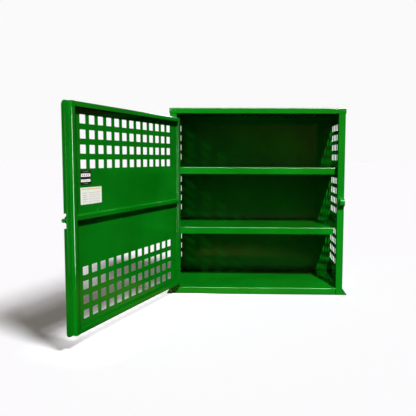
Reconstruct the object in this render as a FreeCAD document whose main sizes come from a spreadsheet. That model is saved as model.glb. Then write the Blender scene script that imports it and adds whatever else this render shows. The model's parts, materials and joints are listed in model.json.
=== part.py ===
"""Steel tool cabinet with two shelves, perforated sides and a perforated door on the left.

Millimetres. +X is to the right as one faces the open front, -Y is the front and +Z is up. The
origin is the middle of the footprint, on the floor. The door is drawn as it stands open, turned
by open_angle about the hinge pins. The slide bolt is drawn back, clear of its keeper.
"""
import FreeCAD, Part
import math
import os
import types

import Sketcher

os.makedirs("parts", exist_ok=True)

# ---------------------------------------------------------------------------------------------
# Driving dimensions
# ---------------------------------------------------------------------------------------------
SIZES = [
    # the case
    ("cabinet_width", 600, "outside, across the side panels"),
    ("cabinet_depth", 278, "outside, from post face to back"),
    ("cabinet_height", 647, "floor to the top of the top panel"),
    ("gauge", 1.2, "sheet thickness of every folded panel"),
    ("bend", 1.0, "inside radius of a fold"),
    ("top_flange", 18.4, "depth of the top panel's flanges"),
    ("sill_height", 24.0, "floor to the upper face of the base tray"),
    ("tray_return", 12, "inward return under the sill"),
    ("post_face", 23.5, "width of the front post"),
    ("post_return", 21, "depth of the post's two legs, on the inside and on the case side"),
    ("corner_gap", 1.0, "sheet corner to the part it is notched around"),
    ("foot_gauge", 1.5, "thickness of the foot angle"),
    ("foot_out", 16, "how far the foot stands out from the side"),
    ("foot_leg", 18, "upright leg of the foot angle"),
    ("foot_hole_radius", 3.25, "floor fixing holes"),
    ("foot_hole_inset", 40, "hole centre to the end of the foot"),
    ("foot_corner", 5, "radius of the foot's outer corners"),
    # shelves
    ("shelf_upper_height", 444.2, "upper face of the upper shelf"),
    ("shelf_lower_height", 233.8, "upper face of the lower shelf"),
    ("shelf_face", 24.2, "depth of the shelf's front face"),
    ("shelf_return", 10, "return under the shelf's front face"),
    ("shelf_setback", 22, "post face to shelf face"),
    ("shelf_face_inset", 31, "case side to the end of the shelf's front face"),
    ("shelf_notch", 14, "how far the front corners are cut back"),
    ("shelf_rear_flange", 12, "downward flange at the back of a shelf"),
    ("bracket_leg", 18, "both legs of a shelf bracket"),
    ("bracket_gauge", 1.5, "thickness of a shelf bracket"),
    ("bracket_end_gap", 4, "bracket to post return, and to the shelf's rear flange"),
    # perforations
    ("hole_size", 22, "square holes"),
    ("hole_rows", 4, "rows in every group"),
    ("row_pitch", 37, "row to row"),
    ("door_columns", 13, "columns across the door"),
    ("door_column_start", 52.5, "free stile to the first column's centre"),
    ("door_column_end", 62.3, "hinge edge to the last column's centre"),
    ("door_rows_drop", 40, "door top to the upper group's highest row"),
    ("door_rows_lower", 40.5, "door bottom to the lower group's lowest row"),
    ("side_columns", 7, "columns across a side panel"),
    ("side_column_start", 44, "post face to the first column's centre"),
    ("side_column_end", 20.4, "back to the last column's centre"),
    ("side_rows_upper", 36.3, "upper shelf to the lowest row above it"),
    ("side_rows_middle", 47.7, "lower shelf to the lowest row above it"),
    ("side_rows_lower", 65.5, "base tray to the lowest row above it"),
    # the door
    ("open_angle", 109.5, "how far the door stands open"),
    ("door_sill_gap", 16.5, "base tray to the door's bottom edge"),
    ("door_top_gap", 17.6, "door's top edge to the top panel's flange"),
    ("door_gap", 1.0, "door skin to post face when shut"),
    ("door_side_gap", 2.5, "hinge edge of the door to the post"),
    ("door_free_gap", 8.5, "free stile to the post"),
    ("door_overlap", 21.5, "skin beyond the free stile, over the post"),
    ("skin_corner", 12, "radius of the skin's free corners"),
    ("frame_depth", 11, "skin to the face of the frame lips"),
    ("stile_lip", 12, "lip of the free and hinge stiles"),
    ("rail_lip", 12.5, "lip of the top and bottom rails"),
    ("frame_foot", 9, "leg of each rail and stile on the skin"),
    ("stiffener_crown", 13, "face of the middle stiffener"),
    ("stiffener_foot", 8, "legs of the middle stiffener"),
    ("stiffener_height", 289, "door bottom to the stiffener's middle"),
    # hinges
    ("pivot_out", 4.75, "post face to the pin's axis"),
    ("pivot_over", 0.2, "post's inner edge to the pin's axis"),
    ("knuckle_radius", 3.0, "outside of a knuckle"),
    ("pin_radius", 1.5, "hinge pin"),
    ("pin_clearance", 0.05, "pin to the door's knuckle, each side"),
    ("pin_head_radius", 2.6, "riveted head of the pin"),
    ("pin_head", 1.2, "thickness of the pin's head"),
    ("knuckle_length", 20, "length of each of the three knuckles"),
    ("knuckle_gap", 0.5, "knuckle to washer, and washer to knuckle"),
    ("washer_thickness", 0.8, "washer between two knuckles"),
    ("leaf_gauge", 1.5, "thickness of a hinge leaf"),
    ("leaf_reach", 18, "pin's axis to the edge of the body leaf"),
    ("door_leaf_reach", 26, "pin's axis to the edge of the door leaf"),
    ("hinge_lower", 78, "door bottom to the lower hinge's middle"),
    ("hinge_upper", 78.5, "door top to the upper hinge's middle"),
    # the latch
    ("latch_height", 285, "door bottom to the bolt's axis"),
    ("bolt_radius", 5, "slide bolt"),
    ("bolt_length", 140, "slide bolt"),
    ("bolt_drawn_gap", 1.5, "tip of the bolt, drawn back, to the keeper"),
    ("bolt_play", 0.3, "bolt to its guides, all round"),
    ("bolt_over_plate", 1.5, "bolt to backplate"),
    ("bolt_travel", 20, "drawn back to shot"),
    ("plate_gauge", 2, "latch backplate"),
    ("plate_length", 122, "latch backplate"),
    ("plate_height", 44, "latch backplate"),
    ("plate_setback", 4.5, "front end of the backplate to the notch"),
    ("guide_gauge", 3, "upright guides and bolt handle"),
    ("guide_width", 20, "upright guides and bolt handle"),
    ("guide_inset", 10, "end of the backplate to the guide"),
    ("guide_reach", 9, "bolt's axis to the outer end of a guide"),
    ("lug_inset", 43, "front end of the backplate to the padlock lug"),
    ("padlock_reach", 17, "bolt's axis to the padlock hole's axis"),
    ("padlock_radius", 4, "padlock hole"),
    ("padlock_wall", 6, "metal around the padlock hole"),
    ("handle_gap", 0.5, "bolt handle to the padlock lug when shot, and to the backplate"),
    ("lug_corner", 8, "radius of the outer corners of lug, guide and handle"),
    ("plate_corner", 5, "radius of the backplate's corners"),
    ("notch_gap", 2, "keeper to the notch cut into the skin's free edge"),
    ("notch_height", 36, "cut into the skin's free edge at the keeper"),
    ("notch_corner", 2, "radius inside the notch"),
    ("keeper_width", 16, "along the bolt"),
    ("keeper_edge", 0.5, "keeper to the outer edge of the post"),
    ("keeper_gauge", 2, "keeper strip"),
    ("keeper_span", 33, "overall height on the post"),
    ("keeper_crown", 17, "height of its flat front"),
    ("keeper_play", 0.6, "bolt to the inside of the keeper's front"),
    ("keeper_bend", 3.5, "outside radius of the keeper's bends"),
    # fasteners and labels
    ("rivet_radius", 3.5, "head of a latch rivet"),
    ("rivet_head", 1.2, "height of a latch rivet's heads"),
    ("rivet_shank", 2.0, "shank of a latch rivet"),
    ("rivet_inset", 7, "rivet to the rear end and lower side of the backplate"),
    ("front_rivet_inset", 30, "front rivets to the front end of the backplate"),
    ("pop_radius", 2.4, "head of a panel or shelf rivet"),
    ("pop_head", 0.7, "height of a panel or shelf rivet's heads"),
    ("pop_shank", 1.5, "shank of a panel or shelf rivet"),
    ("pop_spacing", 13, "between the two rivets at a top corner"),
    ("pop_inset", 5.5, "outer rivet to the case side"),
    ("pop_drop", 9.5, "top of the case to the rivets"),
    ("shelf_rivet_inset", 55, "rivet to the end of the bracket"),
    ("label_gauge", 0.3, "stickers on the door's inner face"),
    ("label_start", 39, "free stile to the labels' edge"),
    ("warning_width", 41, "warning label"),
    ("warning_height", 36.5, "warning label"),
    ("warning_bottom", 367.5, "door bottom to the label"),
    ("rating_width", 83, "rating label"),
    ("rating_height", 42.5, "rating label"),
    ("rating_bottom", 318.5, "door bottom to the label"),
]

doc = FreeCAD.newDocument("tool_cabinet")
sheet = doc.addObject("Spreadsheet::Sheet", "sizes")
for row, (name, value, meaning) in enumerate(SIZES, start=1):
    sheet.set(f"A{row}", str(value))
    sheet.setAlias(f"A{row}", name)
    sheet.set(f"B{row}", meaning)
doc.recompute()


class Size:
    """A number that remembers the expression it comes from, so that it can be bound to the sheet."""

    def __init__(self, value, text=None):
        self.value = value
        self.text = text or repr(value)

    def joined(self, sign, other, value):
        return Size(value, f"({self.text} {sign} {other.text})")

    def __add__(self, other):
        other = as_size(other)
        return self.joined("+", other, self.value + other.value)

    def __sub__(self, other):
        other = as_size(other)
        return self.joined("-", other, self.value - other.value)

    def __mul__(self, other):
        other = as_size(other)
        return self.joined("*", other, self.value * other.value)

    def __truediv__(self, other):
        other = as_size(other)
        return self.joined("/", other, self.value / other.value)

    def __neg__(self):
        return Size(-self.value, f"(-1 * {self.text})")


def as_size(item):
    return item if isinstance(item, Size) else Size(item)


# Every size of the sheet under its own name, as in s.gauge.
s = types.SimpleNamespace(**{name: Size(value, f"sizes.{name}") for name, value, meaning in SIZES})
ZERO = Size(0)

# ---------------------------------------------------------------------------------------------
# Places that several pieces share
# ---------------------------------------------------------------------------------------------
LEFT = -s.cabinet_width / 2
FRONT = -s.cabinet_depth / 2
BACK = s.cabinet_depth / 2
CASE_INSIDE = s.cabinet_width / 2 - s.gauge
BACK_INSIDE = BACK - s.gauge
ROOF_INSIDE = s.cabinet_height - s.gauge
ROOF_FILLET = ROOF_INSIDE - s.bend
POST_EDGE = s.cabinet_width / 2 - s.post_face
POST_BACK = FRONT + s.post_return
PIVOT_X = LEFT + s.post_face + s.pivot_over
PIVOT_Y = FRONT - s.pivot_out

# On the door, X runs from its hinge edge, Y from the skin's inner face towards the case, and Z
# from its bottom edge. The pin's axis is then at:
DOOR_PIVOT_X = s.pivot_over - s.door_side_gap
DOOR_PIVOT_Y = s.door_gap - s.pivot_out
SKIN_OUTER = -s.gauge
PLATE_OUTER = SKIN_OUTER - s.plate_gauge
BOLT_Y = PLATE_OUTER - s.bolt_over_plate - s.bolt_radius
DOOR_WIDTH = s.cabinet_width - s.post_face * 2 - s.door_side_gap - s.door_free_gap
DOOR_BOTTOM = s.sill_height + s.door_sill_gap
DOOR_HEIGHT = s.cabinet_height - s.top_flange - s.door_top_gap - DOOR_BOTTOM
SKIN_EDGE = DOOR_WIDTH + s.door_overlap
KEEPER_X = s.cabinet_width / 2 - s.keeper_edge - s.keeper_width
KEEPER_ON_DOOR = KEEPER_X - LEFT - s.post_face - s.door_side_gap
NOTCH_X = KEEPER_ON_DOOR - s.notch_gap
PLATE_END = NOTCH_X - s.plate_setback
STIFFENER_TOP = s.stiffener_height + s.stiffener_crown / 2
STIFFENER_FLAT = s.stiffener_foot - s.bend

# The ways a piece drawn flat is stood up: its own Z becomes the direction of the name.
STAND = {
    "z": FreeCAD.Rotation(),
    "x": FreeCAD.Rotation(FreeCAD.Vector(1, 1, 1), 120),
    "-y": FreeCAD.Rotation(FreeCAD.Vector(1, 0, 0), 90),
}
STEP = {"+x": (1, 0), "-x": (-1, 0), "+y": (0, 1), "-y": (0, -1)}
AWAY = {"x": (1, 0, 0), "-y": (0, -1, 0), "z": (0, 0, 1)}
SAME_PLACE = 0.01  # two corners nearer than this are one
nodes = []


# ---------------------------------------------------------------------------------------------
# Ways to make a shape
# ---------------------------------------------------------------------------------------------
def bind(obj, **sizes):
    """Bind properties of an object to sizes."""
    for name, size in sizes.items():
        obj.setExpression(name, as_size(size).text)
    return obj


def at(obj, x, y, z):
    """Bind an object's position."""
    for letter, size in zip("xyz", (x, y, z)):
        obj.setExpression(f".Placement.Base.{letter}", as_size(size).text)
    return obj


def box(x, y, z):
    """A block from (low, high) pairs along X, Y and Z."""
    block = doc.addObject("Part::Box", "block")
    (x0, x1), (y0, y1), (z0, z1) = [(as_size(low), as_size(high)) for low, high in (x, y, z)]
    bind(block, Length=x1 - x0, Width=y1 - y0, Height=z1 - z0)
    return at(block, x0, y0, z0)


def bar(radius, length, centre, along="z"):
    """A round bar that starts at centre and runs along Z, X or -Y."""
    rod = doc.addObject("Part::Cylinder", "bar")
    bind(rod, Radius=radius, Height=length)
    rod.Placement = FreeCAD.Placement(FreeCAD.Vector(), STAND[along])
    return at(rod, *centre)


def dome(radius, height, centre, along):
    """A rivet head: a low cone frustum that starts at centre and narrows along Z, X or -Y."""
    head = doc.addObject("Part::Cone", "dome")
    bind(head, Radius1=radius, Radius2=as_size(radius) - height, Height=height)
    head.Placement = FreeCAD.Placement(FreeCAD.Vector(), STAND[along])
    return at(head, *centre)


def group(pieces):
    """Separate solids held together."""
    bundle = doc.addObject("Part::Compound", "group")
    bundle.Links = pieces
    return bundle


def fuse(pieces):
    """One solid from solids that touch."""
    joined = doc.addObject("Part::MultiFuse", "joined")
    joined.Shapes = pieces
    joined.Refine = True
    return joined


def cut(base, tool):
    """A solid less another."""
    less = doc.addObject("Part::Cut", "cut")
    less.Base = base
    less.Tool = tool
    return less


def edges_at(shape, corners):
    """Names of the edges of an upright prism that stand on the given corners."""
    places = [(x.value, y.value) for x, y in corners]
    names = []
    for index, edge in enumerate(shape.Edges, start=1):
        ends = [(vertex.X, vertex.Y) for vertex in edge.Vertexes]
        if any(all(math.dist(end, place) < SAME_PLACE for end in ends) for place in places):
            names.append(f"Edge{index}")
    return names


def prism(points, length, along="z", rounds=()):
    """A piece with a straight-sided outline, padded along Z, X or -Y.

    rounds holds (corners, radius) pairs for the edges that are rounded.
    """
    points = [(as_size(x), as_size(y)) for x, y in points]
    body = doc.addObject("PartDesign::Body", "body")
    outline = body.newObject("Sketcher::SketchObject", "outline")
    flat = [plane for plane in body.Origin.OriginFeatures if plane.Role == "XY_Plane"][0]
    outline.AttachmentSupport = [(flat, "")]
    outline.MapMode = "FlatFace"
    corners = [FreeCAD.Vector(x.value, y.value, 0) for x, y in points]
    for start, end in zip(corners, corners[1:] + corners[:1]):
        outline.addGeometry(Part.LineSegment(start, end), False)
    for index, (x, y) in enumerate(points):
        after = (index + 1) % len(points)
        outline.addConstraint(Sketcher.Constraint("Coincident", index, 2, after, 1))
        for kind, size in (("DistanceX", x), ("DistanceY", y)):
            name = f"{kind}_{index}"
            place = outline.addConstraint(Sketcher.Constraint(kind, -1, 1, index, 1, size.value))
            outline.renameConstraint(place, name)
            outline.setExpression(f"Constraints.{name}", size.text)
    pad = body.newObject("PartDesign::Pad", "pad")
    pad.Profile = outline
    bind(pad, Length=length)
    doc.recompute()
    for corners, radius in rounds:
        tip = body.Tip
        rounded = body.newObject("PartDesign::Fillet", "rounded")
        rounded.Base = (tip, edges_at(tip.Shape, corners))
        bind(rounded, Radius=radius)
        body.Tip = rounded
        doc.recompute()
    body.Placement = FreeCAD.Placement(FreeCAD.Vector(), STAND[along])
    return body


def folded(start, moves, side, length, along="z", gauge=s.gauge):
    """A folded sheet: its face follows the moves from start, and the metal lies on one side.

    Each move is a direction in STEP and a length. side is 1 for metal on the left of the
    travel and -1 for metal on the right. Every fold is rounded inside and out.
    """
    face = [(as_size(start[0]), as_size(start[1]))]
    steps = [STEP[direction] for direction, distance in moves]
    for (dx, dy), (direction, distance) in zip(steps, moves):
        x, y = face[-1]
        face.append((x + as_size(distance) * dx, y + as_size(distance) * dy))
    normals = [(-dy * side, dx * side) for dx, dy in steps]
    other = []
    for index, (x, y) in enumerate(face):
        near = set(normals[max(index - 1, 0):index + 1])
        other.append((x + gauge * sum(n[0] for n in near), y + gauge * sum(n[1] for n in near)))
    inner, outer = [], []
    for index in range(1, len(moves)):
        (ax, ay), (bx, by) = steps[index - 1], steps[index]
        towards_metal = (ax * by - ay * bx) * side > 0
        (outer if towards_metal else inner).append(face[index])
        (inner if towards_metal else outer).append(other[index])
    rounds = [(inner, s.bend), (outer, s.bend + gauge)]
    return prism(face + other[::-1], length, along, [pair for pair in rounds if pair[0]])


def punches(first, pitch, columns, row_starts, sheet_faces, along):
    """Square punches along X or Y, in groups of rows, that run a gauge past both sheet faces."""
    half = s.hole_size / 2
    depth = (sheet_faces[0] - s.gauge, sheet_faces[1] + s.gauge)
    made = []
    for start in row_starts:
        for row in range(s.hole_rows.value):
            up = start + s.row_pitch * row
            for column in range(columns.value):
                across = first + pitch * column
                square = [(across - half, across + half), (up - half, up + half)]
                place = [depth, square[0]] if along == "x" else [square[0], depth]
                made.append(box(*place, square[1]))
    return group(made)


def node(name, obj):
    """Name a finished piece, which is one file."""
    obj.Label = name
    nodes.append(obj)
    return obj


def on_door(name, obj):
    """Name a piece drawn on the shut door and swing it open with the door.

    The turn about the pin carries the door's own corner to a new place, and its X and Y to new
    directions.
    """
    carrier = group([obj])
    carrier.Placement = FreeCAD.Placement(FreeCAD.Vector(), FreeCAD.Rotation(FreeCAD.Vector(0, 0, -1), 1))
    carrier.setExpression(".Placement.Rotation.Angle", "sizes.open_angle")
    turn = math.radians(s.open_angle.value)
    cosine = Size(math.cos(turn), "cos(sizes.open_angle)")
    sine = Size(math.sin(turn), "sin(sizes.open_angle)")
    at(
        carrier,
        PIVOT_X - DOOR_PIVOT_X * cosine - DOOR_PIVOT_Y * sine,
        PIVOT_Y + DOOR_PIVOT_X * sine - DOOR_PIVOT_Y * cosine,
        DOOR_BOTTOM,
    )
    return node(name, carrier)


def behind(centre, depth, along):
    """The point that lies a depth under a rivet's outer head."""
    return [as_size(c) - depth * step for c, step in zip(centre, AWAY[along])]


def rivet(centre, grip, along, head, height, shank):
    """A rivet whose outer head sits on centre, and whose shank runs back through the grip."""
    under = behind(centre, grip, along)
    outer = dome(head, height, centre, along)
    tail = bar(head, height, behind(centre, grip + height, along), along)
    return fuse([outer, bar(shank, grip, under, along), tail])


def hole_for(centre, grip, along, shank):
    """The hole that a rivet's shank fills."""
    return bar(shank, grip, behind(centre, grip, along), along)


# ---------------------------------------------------------------------------------------------
# The case
# ---------------------------------------------------------------------------------------------
def front_post(sign):
    """Channel at a front corner. One leg stands inside, and the other carries the side panel."""
    outward = "+x" if sign > 0 else "-x"
    channel = folded(
        (POST_EDGE * sign, POST_BACK),
        [("-y", s.post_return), (outward, s.post_face), ("+y", s.post_return)],
        sign,
        ROOF_FILLET - s.foot_gauge,
    )
    at(channel, 0, 0, s.foot_gauge)
    return cut(channel, group([hole_for(*spot) for spot in panel_spots(sign)]))


def side_panel(sign):
    """Perforated sheet, butt-welded to the front post's leg and to the back panel."""
    faces = sorted([CASE_INSIDE * sign, (s.cabinet_width / 2) * sign], key=lambda size: size.value)
    web = box(faces, (POST_BACK, BACK_INSIDE), (s.foot_gauge, ROOF_INSIDE))
    span = s.cabinet_depth - s.side_column_start - s.side_column_end
    openings = punches(
        FRONT + s.side_column_start,
        span / (s.side_columns.value - 1),
        s.side_columns,
        (
            s.shelf_upper_height + s.side_rows_upper,
            s.shelf_lower_height + s.side_rows_middle,
            s.sill_height + s.side_rows_lower,
        ),
        faces,
        "x",
    )
    return cut(web, openings)


def panel_spots(sign):
    """Rivets through the top panel's front flange and the post behind it."""
    grip = s.gauge * 2
    spots = []
    for count in range(2):
        x = (s.cabinet_width / 2 - s.pop_inset - s.pop_spacing * count) * sign
        spots.append(((x, FRONT - s.gauge, s.cabinet_height - s.pop_drop), grip, "-y", s.pop_shank))
    return spots


def top_panel():
    """Pan that closes over the case, with a flange on all four sides."""
    flange_foot = s.cabinet_height - s.top_flange
    side_to_side = s.cabinet_width + s.gauge * 2
    front_and_back = folded(
        (FRONT - s.gauge, flange_foot),
        [("+y", s.top_flange), ("+x", s.cabinet_depth + s.gauge * 2), ("-y", s.top_flange)],
        -1,
        side_to_side,
        "x",
    )
    at(front_and_back, LEFT - s.gauge, 0, 0)
    ends = [
        box((LEFT - s.gauge, LEFT), (FRONT, BACK), (flange_foot, ROOF_INSIDE)),
        box((-LEFT, -LEFT + s.gauge), (FRONT, BACK), (flange_foot, ROOF_INSIDE)),
    ]
    spots = panel_spots(-1) + panel_spots(1)
    return cut(fuse([front_and_back] + ends), group([hole_for(*spot) for spot in spots]))


def tray(front, top, face, under, rear):
    """Sheet the width of the case, folded down at front and back, with a return below the front."""
    pan = folded(
        (front + under, top - face),
        [("-x", under), ("+y", face), ("+x", BACK_INSIDE - front), ("-y", rear)],
        -1,
        CASE_INSIDE * 2,
        "x",
    )
    return at(pan, -CASE_INSIDE, 0, 0)


def notches(inner, front, back, low, high):
    """Cutters for the two front corners of a tray."""
    blocks = []
    for sign in (-1, 1):
        span = sorted([inner * sign, CASE_INSIDE * sign], key=lambda size: size.value)
        blocks.append(box(span, (front, back), (low, high)))
    return group(blocks)


def base_tray():
    """Floor sheet whose front flange is the sill between the posts."""
    flange = s.sill_height - s.foot_gauge
    pan = tray(FRONT, s.sill_height, flange, s.tray_return, flange)
    corner = notches(POST_EDGE - s.corner_gap, FRONT, POST_BACK + s.corner_gap, s.foot_gauge, s.sill_height)
    return cut(pan, corner)


def bracket_span():
    """Front and rear ends of a shelf bracket."""
    return POST_BACK + s.bracket_end_gap, BACK_INSIDE - s.gauge - s.bracket_end_gap


def shelf_spots(top):
    """Rivets down through a shelf and the brackets under its ends."""
    front, back = bracket_span()
    grip = s.gauge + s.bracket_gauge
    spots = []
    for sign in (-1, 1):
        x = (CASE_INSIDE - s.bracket_leg / 2) * sign
        for y in (front + s.shelf_rivet_inset, back - s.shelf_rivet_inset):
            spots.append(((x, y, top), grip, "z", s.pop_shank))
    return spots


def shelf(top):
    """Shelf with a deep front face that ends short of the posts."""
    front = FRONT + s.shelf_setback
    pan = tray(front, top, s.shelf_face, s.shelf_return, s.shelf_rear_flange)
    inner = s.cabinet_width / 2 - s.shelf_face_inset
    corner = notches(inner, front, front + s.shelf_notch, top - s.shelf_face, top)
    return cut(pan, group([corner] + [hole_for(*spot) for spot in shelf_spots(top)]))


def shelf_bracket(sign, top):
    """Angle on the side panel that carries one end of a shelf."""
    front, back = bracket_span()
    inward, outward = ("+x", "-x") if sign < 0 else ("-x", "+x")
    angle = folded(
        ((CASE_INSIDE - s.bracket_leg) * sign, top - s.gauge),
        [(outward, s.bracket_leg), ("-y", s.bracket_leg)],
        -sign,
        back - front,
        "-y",
        s.bracket_gauge,
    )
    at(angle, 0, back, 0)
    spots = [spot for spot in shelf_spots(top) if spot[0][0].value * sign > 0]
    return cut(angle, group([hole_for(*spot) for spot in spots]))


def foot(sign):
    """Angle under a side panel. Its flat leg stands out of the case and has two floor fixings."""
    inner = CASE_INSIDE - s.foot_gauge
    outer = s.cabinet_width / 2 + s.foot_out
    corners = [(outer * sign, FRONT), (outer * sign, BACK)]
    outline = [(inner * sign, FRONT), corners[0], corners[1], (inner * sign, BACK)]
    flat = prism(outline, s.foot_gauge, "z", [(corners, s.foot_corner)])
    span = sorted([inner * sign, CASE_INSIDE * sign], key=lambda size: size.value)
    upright_end = BACK_INSIDE - s.gauge - s.corner_gap
    upright = box(span, (POST_BACK + s.corner_gap, upright_end), (0, s.foot_leg))
    hole_x = (s.cabinet_width / 2 + s.foot_out / 2) * sign
    holes = [
        bar(s.foot_hole_radius, s.foot_gauge, (hole_x, FRONT + s.foot_hole_inset, 0)),
        bar(s.foot_hole_radius, s.foot_gauge, (hole_x, BACK - s.foot_hole_inset, 0)),
    ]
    return cut(fuse([flat, upright]), group(holes))


def bolt_keeper():
    """Strip bent into a bridge on the right post, which the slide bolt passes through."""
    middle = DOOR_BOTTOM + s.latch_height
    inside = FRONT - s.door_gap + BOLT_Y - s.bolt_radius - s.keeper_play
    outside = inside - s.keeper_gauge
    foot_half, crown_half = s.keeper_span / 2, s.keeper_crown / 2
    outer = [
        (FRONT, middle + foot_half),
        (outside, middle + crown_half),
        (outside, middle - crown_half),
        (FRONT, middle - foot_half),
    ]
    inner = [
        (FRONT, middle - foot_half + s.keeper_gauge),
        (inside, middle - crown_half + s.keeper_gauge),
        (inside, middle + crown_half - s.keeper_gauge),
        (FRONT, middle + foot_half - s.keeper_gauge),
    ]
    rounds = [(inner[1:3], s.keeper_bend - s.keeper_gauge), (outer[1:3], s.keeper_bend)]
    strip = prism(outer + inner, s.keeper_width, "x", rounds)
    return at(strip, KEEPER_X, 0, 0)


for word, sign in (("left", -1), ("right", 1)):
    node(f"front_post_{word}", front_post(sign))
    node(f"side_panel_{word}", side_panel(sign))
node("back_panel", box((LEFT, -LEFT), (BACK_INSIDE, BACK), (s.foot_gauge, ROOF_FILLET)))
node("top_panel", top_panel())
node("base_tray", base_tray())
SHELVES = (("upper", s.shelf_upper_height), ("lower", s.shelf_lower_height))
shelf_rivets = []
for level, top in SHELVES:
    node(f"shelf_{level}", shelf(top))
    for word, sign in (("left", -1), ("right", 1)):
        node(f"shelf_bracket_{level}_{word}", shelf_bracket(sign, top))
    for centre, grip, along, shank in shelf_spots(top):
        shelf_rivets.append(rivet(centre, grip, along, s.pop_radius, s.pop_head, shank))
node("shelf_rivets", group(shelf_rivets))
for word, sign in (("left", -1), ("right", 1)):
    node(f"foot_{word}", foot(sign))
node("bolt_keeper", bolt_keeper())
panel_rivets = [
    rivet(centre, grip, along, s.pop_radius, s.pop_head, shank)
    for centre, grip, along, shank in panel_spots(-1) + panel_spots(1)
]
node("panel_rivets", group(panel_rivets))


# ---------------------------------------------------------------------------------------------
# The hinges
# ---------------------------------------------------------------------------------------------
HALF_KNUCKLE = s.knuckle_length / 2
CASE_KNUCKLE = HALF_KNUCKLE + s.knuckle_gap + s.washer_thickness
HALF_HINGE = CASE_KNUCKLE + s.knuckle_length


def case_leaf(middle):
    """Leaf on the post's face with the two outer knuckles."""
    roll = (PIVOT_X - s.knuckle_radius, PIVOT_X - s.knuckle_radius / 2)
    whole = (middle - HALF_HINGE, middle + HALF_HINGE)
    pieces = [box((PIVOT_X - s.leaf_reach, roll[1]), (FRONT - s.leaf_gauge, FRONT), whole)]
    knuckles = [
        (middle - HALF_HINGE, middle - CASE_KNUCKLE),
        (middle + CASE_KNUCKLE, middle + HALF_HINGE),
    ]
    for low, high in knuckles:
        pieces.append(box(roll, (PIVOT_Y, FRONT - s.leaf_gauge), (low, high)))
        pieces.append(bar(s.knuckle_radius, high - low, (PIVOT_X, PIVOT_Y, low)))
    bore = bar(s.pin_radius, HALF_HINGE * 2, (PIVOT_X, PIVOT_Y, middle - HALF_HINGE))
    return cut(fuse(pieces), bore)


def door_leaf(middle):
    """Leaf on the outside of the door with the middle knuckle."""
    clear = DOOR_PIVOT_X + s.knuckle_radius + s.knuckle_gap
    outer, inner = SKIN_OUTER - s.leaf_gauge, SKIN_OUTER
    low, high = middle - HALF_KNUCKLE, middle + HALF_KNUCKLE
    whole = (middle - HALF_HINGE, middle + HALF_HINGE)
    pieces = [
        box((clear, DOOR_PIVOT_X + s.door_leaf_reach), (outer, inner), whole),
        box((DOOR_PIVOT_X + s.knuckle_radius / 2, clear), (outer, inner), (low, high)),
        bar(s.knuckle_radius, s.knuckle_length, (DOOR_PIVOT_X, DOOR_PIVOT_Y, low)),
    ]
    bore = bar(s.pin_radius + s.pin_clearance, s.knuckle_length, (DOOR_PIVOT_X, DOOR_PIVOT_Y, low))
    return cut(fuse(pieces), bore)


def hinge_pin(middle):
    """Pin fast in the case knuckles, with a head at each end."""
    low, high = middle - HALF_HINGE, middle + HALF_HINGE
    return fuse([
        bar(s.pin_radius, high - low, (PIVOT_X, PIVOT_Y, low)),
        bar(s.pin_head_radius, s.pin_head, (PIVOT_X, PIVOT_Y, low - s.pin_head)),
        bar(s.pin_head_radius, s.pin_head, (PIVOT_X, PIVOT_Y, high)),
    ])


def washers(middle):
    """The two thin rings against the case knuckles."""
    rings = []
    for low in (middle - CASE_KNUCKLE, middle + CASE_KNUCKLE - s.washer_thickness):
        disc = bar(s.knuckle_radius, s.washer_thickness, (PIVOT_X, PIVOT_Y, low))
        rings.append(cut(disc, bar(s.pin_radius, s.washer_thickness, (PIVOT_X, PIVOT_Y, low))))
    return group(rings)


for level, middle in (("lower", s.hinge_lower), ("upper", DOOR_HEIGHT - s.hinge_upper)):
    height = DOOR_BOTTOM + middle
    node(f"hinge_leaf_case_{level}", case_leaf(height))
    node(f"hinge_pin_{level}", hinge_pin(height))
    node(f"hinge_washers_{level}", washers(height))
    on_door(f"hinge_leaf_door_{level}", door_leaf(middle))


# ---------------------------------------------------------------------------------------------
# The door
# ---------------------------------------------------------------------------------------------
def latch_spots(row):
    """Rivets through the backplate and the skin. The upper row goes through the stiffener too."""
    grip = s.plate_gauge + s.gauge
    z = s.latch_height - s.plate_height / 2 + s.rivet_inset
    if row == "upper":
        grip = grip + s.gauge
        z = STIFFENER_TOP + s.bend + STIFFENER_FLAT / 2
    columns = (PLATE_END - s.plate_length + s.rivet_inset, PLATE_END - s.front_rivet_inset)
    return [((x, PLATE_OUTER, z), grip, "-y", s.rivet_shank) for x in columns]


def latch_holes(rows=("lower", "upper")):
    """The holes that those rivets fill, in all the sheets that they hold."""
    return [hole_for(*spot) for row in rows for spot in latch_spots(row)]


def door_skin():
    """Perforated sheet with rounded free corners and a notch that clears the keeper."""
    notch_low, notch_high = s.latch_height - s.notch_height / 2, s.latch_height + s.notch_height / 2
    free = [(SKIN_EDGE, ZERO), (SKIN_EDGE, DOOR_HEIGHT)]
    inside = [(NOTCH_X, notch_low), (NOTCH_X, notch_high)]
    outline = [
        (ZERO, ZERO),
        free[0],
        (SKIN_EDGE, notch_low),
        inside[0],
        inside[1],
        (SKIN_EDGE, notch_high),
        free[1],
        (ZERO, DOOR_HEIGHT),
    ]
    skin = prism(outline, s.gauge, "-y", [(free, s.skin_corner), (inside, s.notch_corner)])
    pitch = (DOOR_WIDTH - s.door_column_start - s.door_column_end) / (s.door_columns.value - 1)
    upper_rows = DOOR_HEIGHT - s.door_rows_drop - s.row_pitch * (s.hole_rows.value - 1)
    rows = (upper_rows, s.door_rows_lower)
    openings = punches(s.door_column_end, pitch, s.door_columns, rows, (SKIN_OUTER, ZERO), "y")
    return cut(skin, group([openings] + latch_holes()))


def stile(edge, sign):
    """Channel up one side of the door: a leg on the skin, a wall, and a lip."""
    inward, outward = ("-x", "+x") if sign > 0 else ("+x", "-x")
    return folded(
        (edge - s.frame_foot * sign, 0),
        [(outward, s.frame_foot), ("+y", s.frame_depth), (inward, s.stile_lip)],
        sign,
        DOOR_HEIGHT,
    )


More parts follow.
